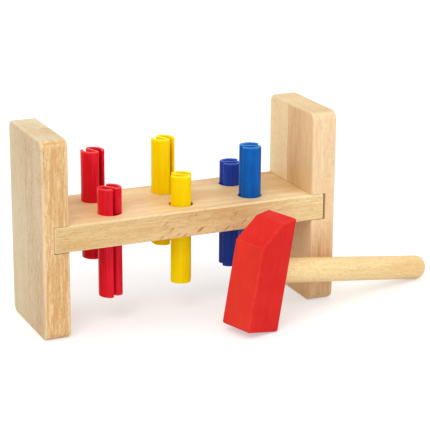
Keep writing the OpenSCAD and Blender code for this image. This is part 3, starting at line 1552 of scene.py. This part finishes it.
def end_panels(bench: BenchSizes) -> list[EndPanel]:
    """Plans both end panels, with the wood of each stave.

    Args:
        bench: the bench's sizes.

    Returns:
        The left panel and the right one.
    """
    end, front, top = bench.length / 2, bench.depth / 2, bench.height
    inner, glue_y = end - bench.panel_t, bench.right_front_w - front
    corner = front + top - (2 - math.sqrt(2)) * bench.panel_corner_r
    # The outer end face is made greyer and bluer: partly the wood of this face, partly painted cool light.
    outer_face_grey_and_cool_light = Shade((-1, 0, 0), end - 0.8, end - 0.1, (0.82, 0.89, 1.04))
    # Painted highlight: the left panel's top is made paler and bluer, as if lit from above with a sheen on
    # the lacquer.
    left_top_painted_sheen = Shade((0, 0, 1), top - 1.0, top - 0.2, (0.9, 1.04, 1.25))
    front_corner = Shade((0, -1, 1), corner - 0.21, corner - 0.03, (0.93, 0.83, 0.7))
    left_front = BeechFinish("left_front_beech", light=(238, 204, 152), deep=(214, 167, 108),
                             centre=(-90, -10, 0), fibre_amount=2.4, fleck_amount=0.75,
                             shades=(outer_face_grey_and_cool_light, left_top_painted_sheen, front_corner))
    left_back = BeechFinish("left_back_beech", light=(240, 211, 158), deep=(222, 182, 124),
                            centre=(-70, 30, 10), shades=(outer_face_grey_and_cool_light, left_top_painted_sheen))
    under_top = Shade((0, 0, -1), 0.6 - top, 3.0 - top)
    above_board = Shade((0, 0, 1), bench.board_z - 1.0, bench.board_top - 3.0, within=under_top)
    by_glue = Shade((0, 1, 0), glue_y - 25.5, glue_y - 7.5, (0.84, 0.745, 0.68), streaky=True,
                    within=above_board)
    low = Shade((0, 0, -1), -bench.board_z - 3.0, 19.0 - bench.board_z)
    front_foot = Shade((0, -1, 0), front - 1.3, front - 0.2, (0.8, 0.68, 0.6), streaky=True, within=low)
    inner_face = Shade((-1, 0, 0), -inner - 0.6, -inner - 0.1, (0.95, 0.87, 0.72))
    right_top = Shade((0, 0, 1), top - 1.0, top - 0.2, (0.84, 0.79, 0.71))
    right_front = BeechFinish("right_front_beech", light=(252, 225, 183), deep=(238, 204, 157),
                              centre=(60, -4, 20), fibre_amount=1.7, fleck_amount=0.4,
                              shades=(by_glue, front_foot, inner_face, right_top))
    right_back = BeechFinish("right_back_beech", light=(254, 233, 189), deep=(244, 214, 162),
                             centre=(40, 16, 60), fleck_amount=0.35, shades=(right_top,))
    return [
        EndPanel(bench, Side.LEFT, bench.left_front_w, left_front, left_back),
        EndPanel(bench, Side.RIGHT, bench.right_front_w, right_front, right_back),
    ]


def peg_board(bench: BenchSizes) -> PegBoard:
    """Plans the board, with its wood.

    Args:
        bench: the bench's sizes.

    Returns:
        The board.
    """
    front, top = bench.depth / 2, bench.board_top
    pale_right = Shade((1, -3, 0), 90.0, 165.0, (1.2, 1.36, 1.54))
    grey_left = Shade((-1, -3, 0), 100.0, 165.0, (0.95, 0.93, 0.88))
    # Painted shade: the board's front face is made darker and a little yellower than its top.
    board_front_painted_shade = Shade((0, -1, 0), front - 0.5, front - 0.1, (0.92, 0.92, 0.84))
    # Painted shadow: the board darkens towards the right panel at its back, and more on its top face.
    board_end_painted_shadow = Shade((1, 0.8, 0), 50.0, 85.0, (0.9, 0.9, 0.86))
    board_top_painted_shadow = Shade((1, 0.8, 0), 45.0, 70.0, (0.93, 0.87, 0.78),
                      within=Shade((0, 0, 1), top - 0.45, top - 0.05))
    scarred = Shade((1, 0, 0), -27.0, -17.0, within=Shade(
        (-1, 0, 0), -42.0, -28.0, within=Shade((0, -1, 0), front - 0.6, front - 0.2)))
    wood = BeechFinish("board_beech", light=(240, 209, 158), deep=(220, 178, 122), centre=(0, 10, 70),
                       turn=Grain.LENGTHWISE.value, fibre_amount=1.5, scars=Scars(scarred),
                       shades=(pale_right, grey_left, board_front_painted_shade, board_end_painted_shadow, board_top_painted_shadow))
    return PegBoard(bench, wood)


def pegs(bench: BenchSizes) -> list[Peg]:
    """Plans the six pegs, with their colours, heights and turns.

    Args:
        bench: the bench's sizes.

    Returns:
        The pegs.
    """
    red = MouldedFinish("red_plastic", body=(206, 12, 36), shallow=(228, 24, 46), scuff_and_highlight=(238, 82, 76))
    yellow = MouldedFinish("yellow_plastic", body=(255, 203, 0), shallow=(255, 220, 0),
                           scuff_and_highlight=(255, 240, 40), specular=0.09)
    blue = MouldedFinish("blue_plastic", body=(0, 82, 162), shallow=(0, 106, 194), scuff_and_highlight=(50, 150, 222))
    # Painted shade: a darker copy of the blue plastic, for the back blue peg.
    blue_in_painted_shade = MouldedFinish("blue_plastic_deep", body=(34, 54, 154), shallow=(30, 74, 180),
                         scuff_and_highlight=(70, 108, 196))
    return [
        Peg(bench, "red", Row.BACK, -1, 0.615, -69, red, open_angle=44.0),
        Peg(bench, "red", Row.FRONT, -1, 0.312, -50, red, upside_down=True),
        Peg(bench, "yellow", Row.BACK, 0, 0.672, -66, yellow, open_angle=44.0),
        Peg(bench, "yellow", Row.FRONT, 0, 0.363, -42, yellow),
        Peg(bench, "blue", Row.BACK, 1, 0.28, -20, blue_in_painted_shade),
        Peg(bench, "blue", Row.FRONT, 1, 0.619, -26, blue),
    ]


def main() -> None:
    """Builds the object and its studio in order."""
    logging.basicConfig(level=logging.INFO, format="%(name)s: %(message)s")
    bench = BenchSizes()
    for panel in end_panels(bench):
        panel.build()
    peg_board(bench).build()
    tree = PegTree()
    for peg in pegs(bench):
        peg.build(tree)
    Hammer(bench).build()
    Studio().build()


if __name__ == "__main__":
    main()
